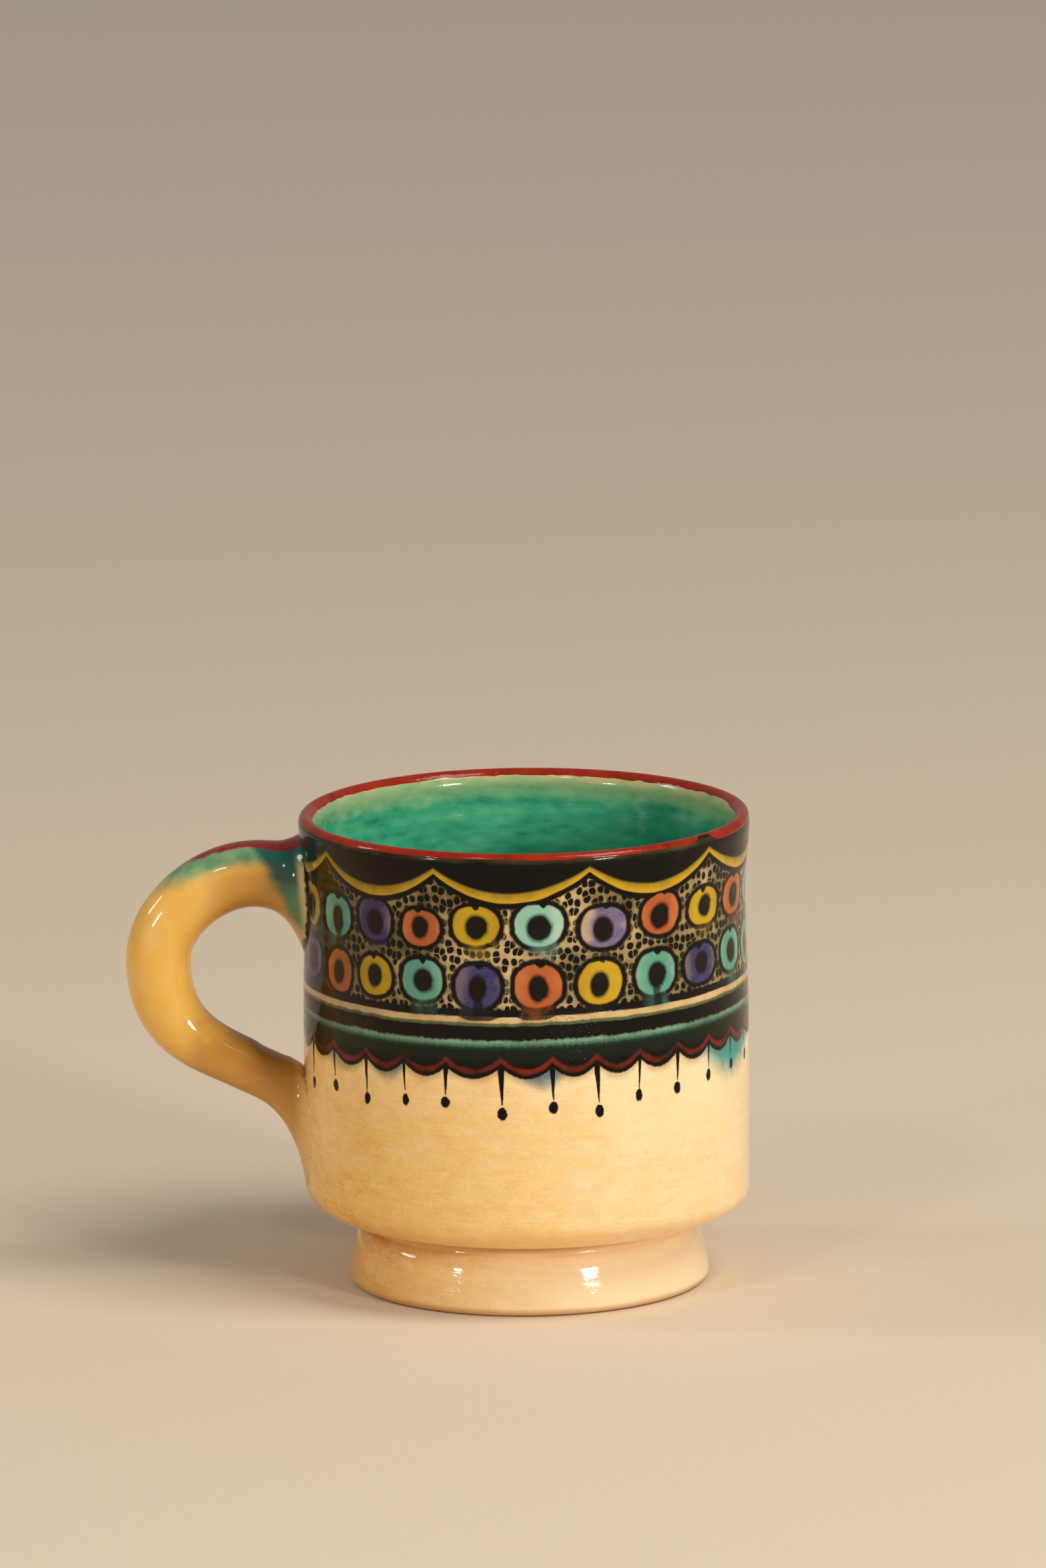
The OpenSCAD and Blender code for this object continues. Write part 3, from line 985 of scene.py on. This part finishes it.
def handle_point(section, around, sink, lift):
    """A point of a section, wrapped onto the round wall near a root."""
    middle, outward, half_t, half_w, flare = section
    out = (half_t + lift) * signed_power(math.cos(around), section_power)
    y = (half_w + lift) * signed_power(math.sin(around), section_power)
    sag = wall_r - math.sqrt(wall_r**2 - y**2)
    r = middle.x + outward.x * out - sink - sag * ease(flare)
    z = middle.y + outward.y * out
    lump = 0.12 * noise.noise(Vector((r, y, z)) / 9)
    return Vector((lump - r, y, z)) * mm


def luted_point(section, around, sink, lift):
    """The same point, with the slip at the sides of a root smoothed out onto the wall."""
    place = handle_point(section, around, sink, lift) / mm
    gap = math.hypot(place.x, place.y) - wall_r
    near = 1 - ease(gap / smear_reach)
    return handle_point(section, around, sink, lift + smear_w * near**2 * math.sin(around) ** 2)


def handle_mesh(rings):
    """Draws a ring out along the handle, and notes how far each point is to its outer side."""
    bm = bmesh.new()
    around = bm.verts.layers.float.new("around")
    outer = bm.verts.layers.float.new("outer")
    loop = bmesh.ops.create_circle(bm, segments=ring_sides, radius=1)["verts"]
    for vert in loop:
        vert[around] = math.atan2(vert.co.y, vert.co.x)
        vert[outer] = math.cos(vert[around])
    edges = list(bm.edges)
    free = []
    for number, (section, sink, lift) in enumerate(rings):
        if number:
            made = bmesh.ops.extrude_edge_only(bm, edges=edges)["geom"]
            loop = [part for part in made if isinstance(part, bmesh.types.BMVert)]
            edges = [part for part in made if isinstance(part, bmesh.types.BMEdge)]
            edges = [edge for edge in edges if set(loop).issuperset(edge.verts)]
        for vert in loop:
            vert.co = luted_point(section, vert[around], sink, lift)
        if section[4] < 0.6:
            free.extend(loop)
    for turn in range(smoothing_turns):
        bmesh.ops.smooth_vert(bm, verts=free, factor=0.5, use_axis_x=True, use_axis_y=True, use_axis_z=True)
    bmesh.ops.holes_fill(bm, edges=bm.edges, sides=ring_sides)
    bmesh.ops.recalc_face_normals(bm, faces=bm.faces)
    return bm


def handle_finish():
    material, place = new_material("honey_handle")
    x, y, z = (place.part(axis) / mm for axis in "XYZ")
    outer = place.node("ShaderNodeAttribute", {"attribute_name": "outer"}, {}, 2)
    drift = place.cloud(5)
    fine = place.cloud(1.2)
    colour, relief = honey(place, drift, 0.37)
    warm = (0.8 + drift * 0.3).maths("MINIMUM", 1)
    colour = warm.cover(colour, srgb(231, 176, 78))
    root = longest(x, y) - wall_r
    # Painted shadow: the deeper amber on the lower run and inner side is partly the glaze's own tone and
    # partly the cup's shadow from the key light. Under the arch near the wall it is painted shade.
    inner = 0.6 + (outer + drift * 0.2).below(0.2, 0.8) * 0.4
    deep = (z + drift * 3).below(49, 8) * (root + drift).below(20.5, 3) * inner * 0.8
    painted_arch_shade = (outer + drift * 0.2).below(0.45, 0.5) * (root + drift).below(16, 4) * z.above(58, 3) * 0.6
    colour = (deep + painted_arch_shade).cover(colour, srgb(166, 106, 42))
    upper = z.above(66, 1)
    level = outer + drift * 0.05 + fine * 0.02
    past = (root - 15).maths("MAXIMUM", 0) / 9
    green = (level - 0.48 - past * past * 0.36).above(0, 0.24) * upper
    tone = 0.35 + drift * 0.45 + fine * 0.1 + root.within(8, 13, 2.5) * 0.35
    green_colour = tone.maths("MAXIMUM", 0).cover(srgb(124, 166, 116), srgb(34, 108, 88))
    colour = (green * 0.95).cover(colour, green_colour)
    down = z - 66.6
    ragged = root + fine * 0.35 + drift * 0.5
    pool = (ragged - down * 0.5).below(1.3, 1.2) * z.above(66, 0.8)
    pool_colour = (z + drift).above(74, 3).cover(srgb(66, 122, 86), srgb(5, 78, 72))
    colour = (pool * 0.92).cover(colour, pool_colour)
    strip = (root + drift * 0.3 - down * 0.08).below(0.5, 0.6) * (z + drift).within(56, 79, 2) * 0.8
    colour = strip.cover(colour, srgb(206, 178, 122))
    taper = (root - 7).maths("MAXIMUM", 0) / 13.5
    red = (level - 0.86 - taper * taper * 0.14).above(0, 0.03) * upper
    red_colour = (0.5 + fine * 0.3 + drift * 0.3).cover(srgb(156, 28, 12), srgb(104, 16, 9))
    colour = red.cover(colour, red_colour)
    edge = (root + fine * 0.2 + drift * 0.25).below(0.25, 0.2) * z.above(54, 1)
    colour = edge.cover(colour, brown_black)
    wall_honey = honey(place, place.cloud(11), wall_depth_and_shade(x, z))[0]
    seam = (root + fine * 0.15).below(1.2, 1.8) * z.below(48, 2)
    colour = seam.cover(colour, wall_honey)
    fired(material, colour, 0.08 + fine * 0.015, relief * 0.5 + red * 0.03 + green * 0.01, 0.32)
    return material


clay_rings = [(section, 0, -1.05 * coat_t) for section in handle_sections]
piece("handle_clay", handle_mesh(clay_rings), clay_finish, "bare_clay", "pulled_handle")
glaze_rings = [(section, 0, root_lift * section[4] ** 2) for section in handle_sections]
for sink, lift in skirts:
    glaze_rings.insert(0, (handle_sections[0], sink, lift))
    glaze_rings.append((handle_sections[-1], sink, lift))
piece("handle_coat", handle_mesh(glaze_rings), handle_finish(), "honey_glaze", "handle_glaze")


# Table, lights and camera
# A plain pale table under soft boxes, seen from the photograph's place: a little above the mug,
# through a long lens, with a slight roll.
table_half = 9
table_drop = 0.02
table_colour = srgb(226, 208, 184)


def table_top():
    material, place = new_material("pale_table")
    grain = place.cloud(1.5)
    colour = (0.5 + grain * 0.25).cover(table_colour, srgb(220, 201, 176))
    away = longest(place.part("X"), place.part("Y")).above(1.6, 1.4)
    colour = away.cover(colour, srgb(255, 248, 238))
    fired(material, colour, 1.0, grain * 0.004, 0.0)
    bm = bmesh.new()
    bmesh.ops.create_grid(bm, x_segments=1, y_segments=1, size=table_half)
    mesh = bpy.data.meshes.new("table")
    bm.to_mesh(mesh)
    bm.free()
    mesh.materials.append(material)
    table = bpy.data.objects.new("table", mesh)
    table.location.z = -table_drop * mm
    bpy.context.scene.collection.objects.link(table)


table_top()
lit_point = Vector((0, 0, 45)) * mm


def soft_box(name, azimuth, elevation, distance, wide, high, watts, colour):
    """A rectangular lamp turned to the mug. Azimuth 0 is the camera's side, and it grows to the right."""
    a, e = math.radians(azimuth), math.radians(elevation)
    away = Vector((math.sin(a) * math.cos(e), -math.cos(a) * math.cos(e), math.sin(e)))
    lamp = bpy.data.lights.new(name, "AREA")
    lamp.shape = "RECTANGLE"
    lamp.size = wide
    lamp.size_y = high
    lamp.energy = watts
    lamp.color = colour
    box = bpy.data.objects.new(name, lamp)
    box.location = lit_point + away * distance
    box.rotation_mode = "QUATERNION"
    box.rotation_quaternion = away.to_track_quat("Z", "Y")
    bpy.context.scene.collection.objects.link(box)


soft_box("right_box", 41, 14, 1.7, 0.26, 0.18, 12, (1.0, 0.97, 0.92))
soft_box("left_box", -49, 14, 1.7, 0.18, 0.16, 4, (1.0, 0.98, 0.95))
soft_box("window", -95, 28, 2.0, 0.32, 0.4, 5, (0.98, 0.99, 1.0))
soft_box("ceiling", 58, 56, 1.6, 0.7, 0.7, 14, (1.0, 0.98, 0.95))
soft_box("skylight", -28, 42, 1.8, 0.16, 0.16, 2.2, (1.0, 0.99, 0.97))

world = bpy.data.worlds.new("room")
world.use_nodes = True
bpy.context.scene.world = world
world.node_tree.nodes["Background"].inputs["Color"].default_value = (1.0, 0.98, 0.95, 1)
world.node_tree.nodes["Background"].inputs["Strength"].default_value = 0.26

picture_w = 1568
picture_h = 2351
focal = 20000
sensor = 36
base_pixel = (793.5, 1912)
pixels_per_mm = 8.244
pitch = math.radians(11.4)
roll = math.radians(0.7)
ahead = Vector((0, math.cos(pitch), -math.sin(pitch)))
level_right = Vector((1, 0, 0))
level_up = Vector((0, math.sin(pitch), math.cos(pitch)))
right = math.cos(roll) * level_right - math.sin(roll) * level_up
up = math.cos(roll) * level_up + math.sin(roll) * level_right
aside = (base_pixel[0] - picture_w / 2) / pixels_per_mm
under = (base_pixel[1] - picture_h / 2) / pixels_per_mm
eye = (-ahead * (focal / pixels_per_mm) - right * aside + up * under) * mm

lens = bpy.data.cameras.new("camera")
lens.sensor_width = sensor
lens.lens = focal * sensor / picture_h
lens.clip_end = 40
camera = bpy.data.objects.new("camera", lens)
camera.matrix_world = Matrix((right, up, -ahead)).transposed().to_4x4()
camera.location = eye
bpy.context.scene.collection.objects.link(camera)
bpy.context.scene.camera = camera
bpy.context.scene.view_settings.view_transform = "Standard"
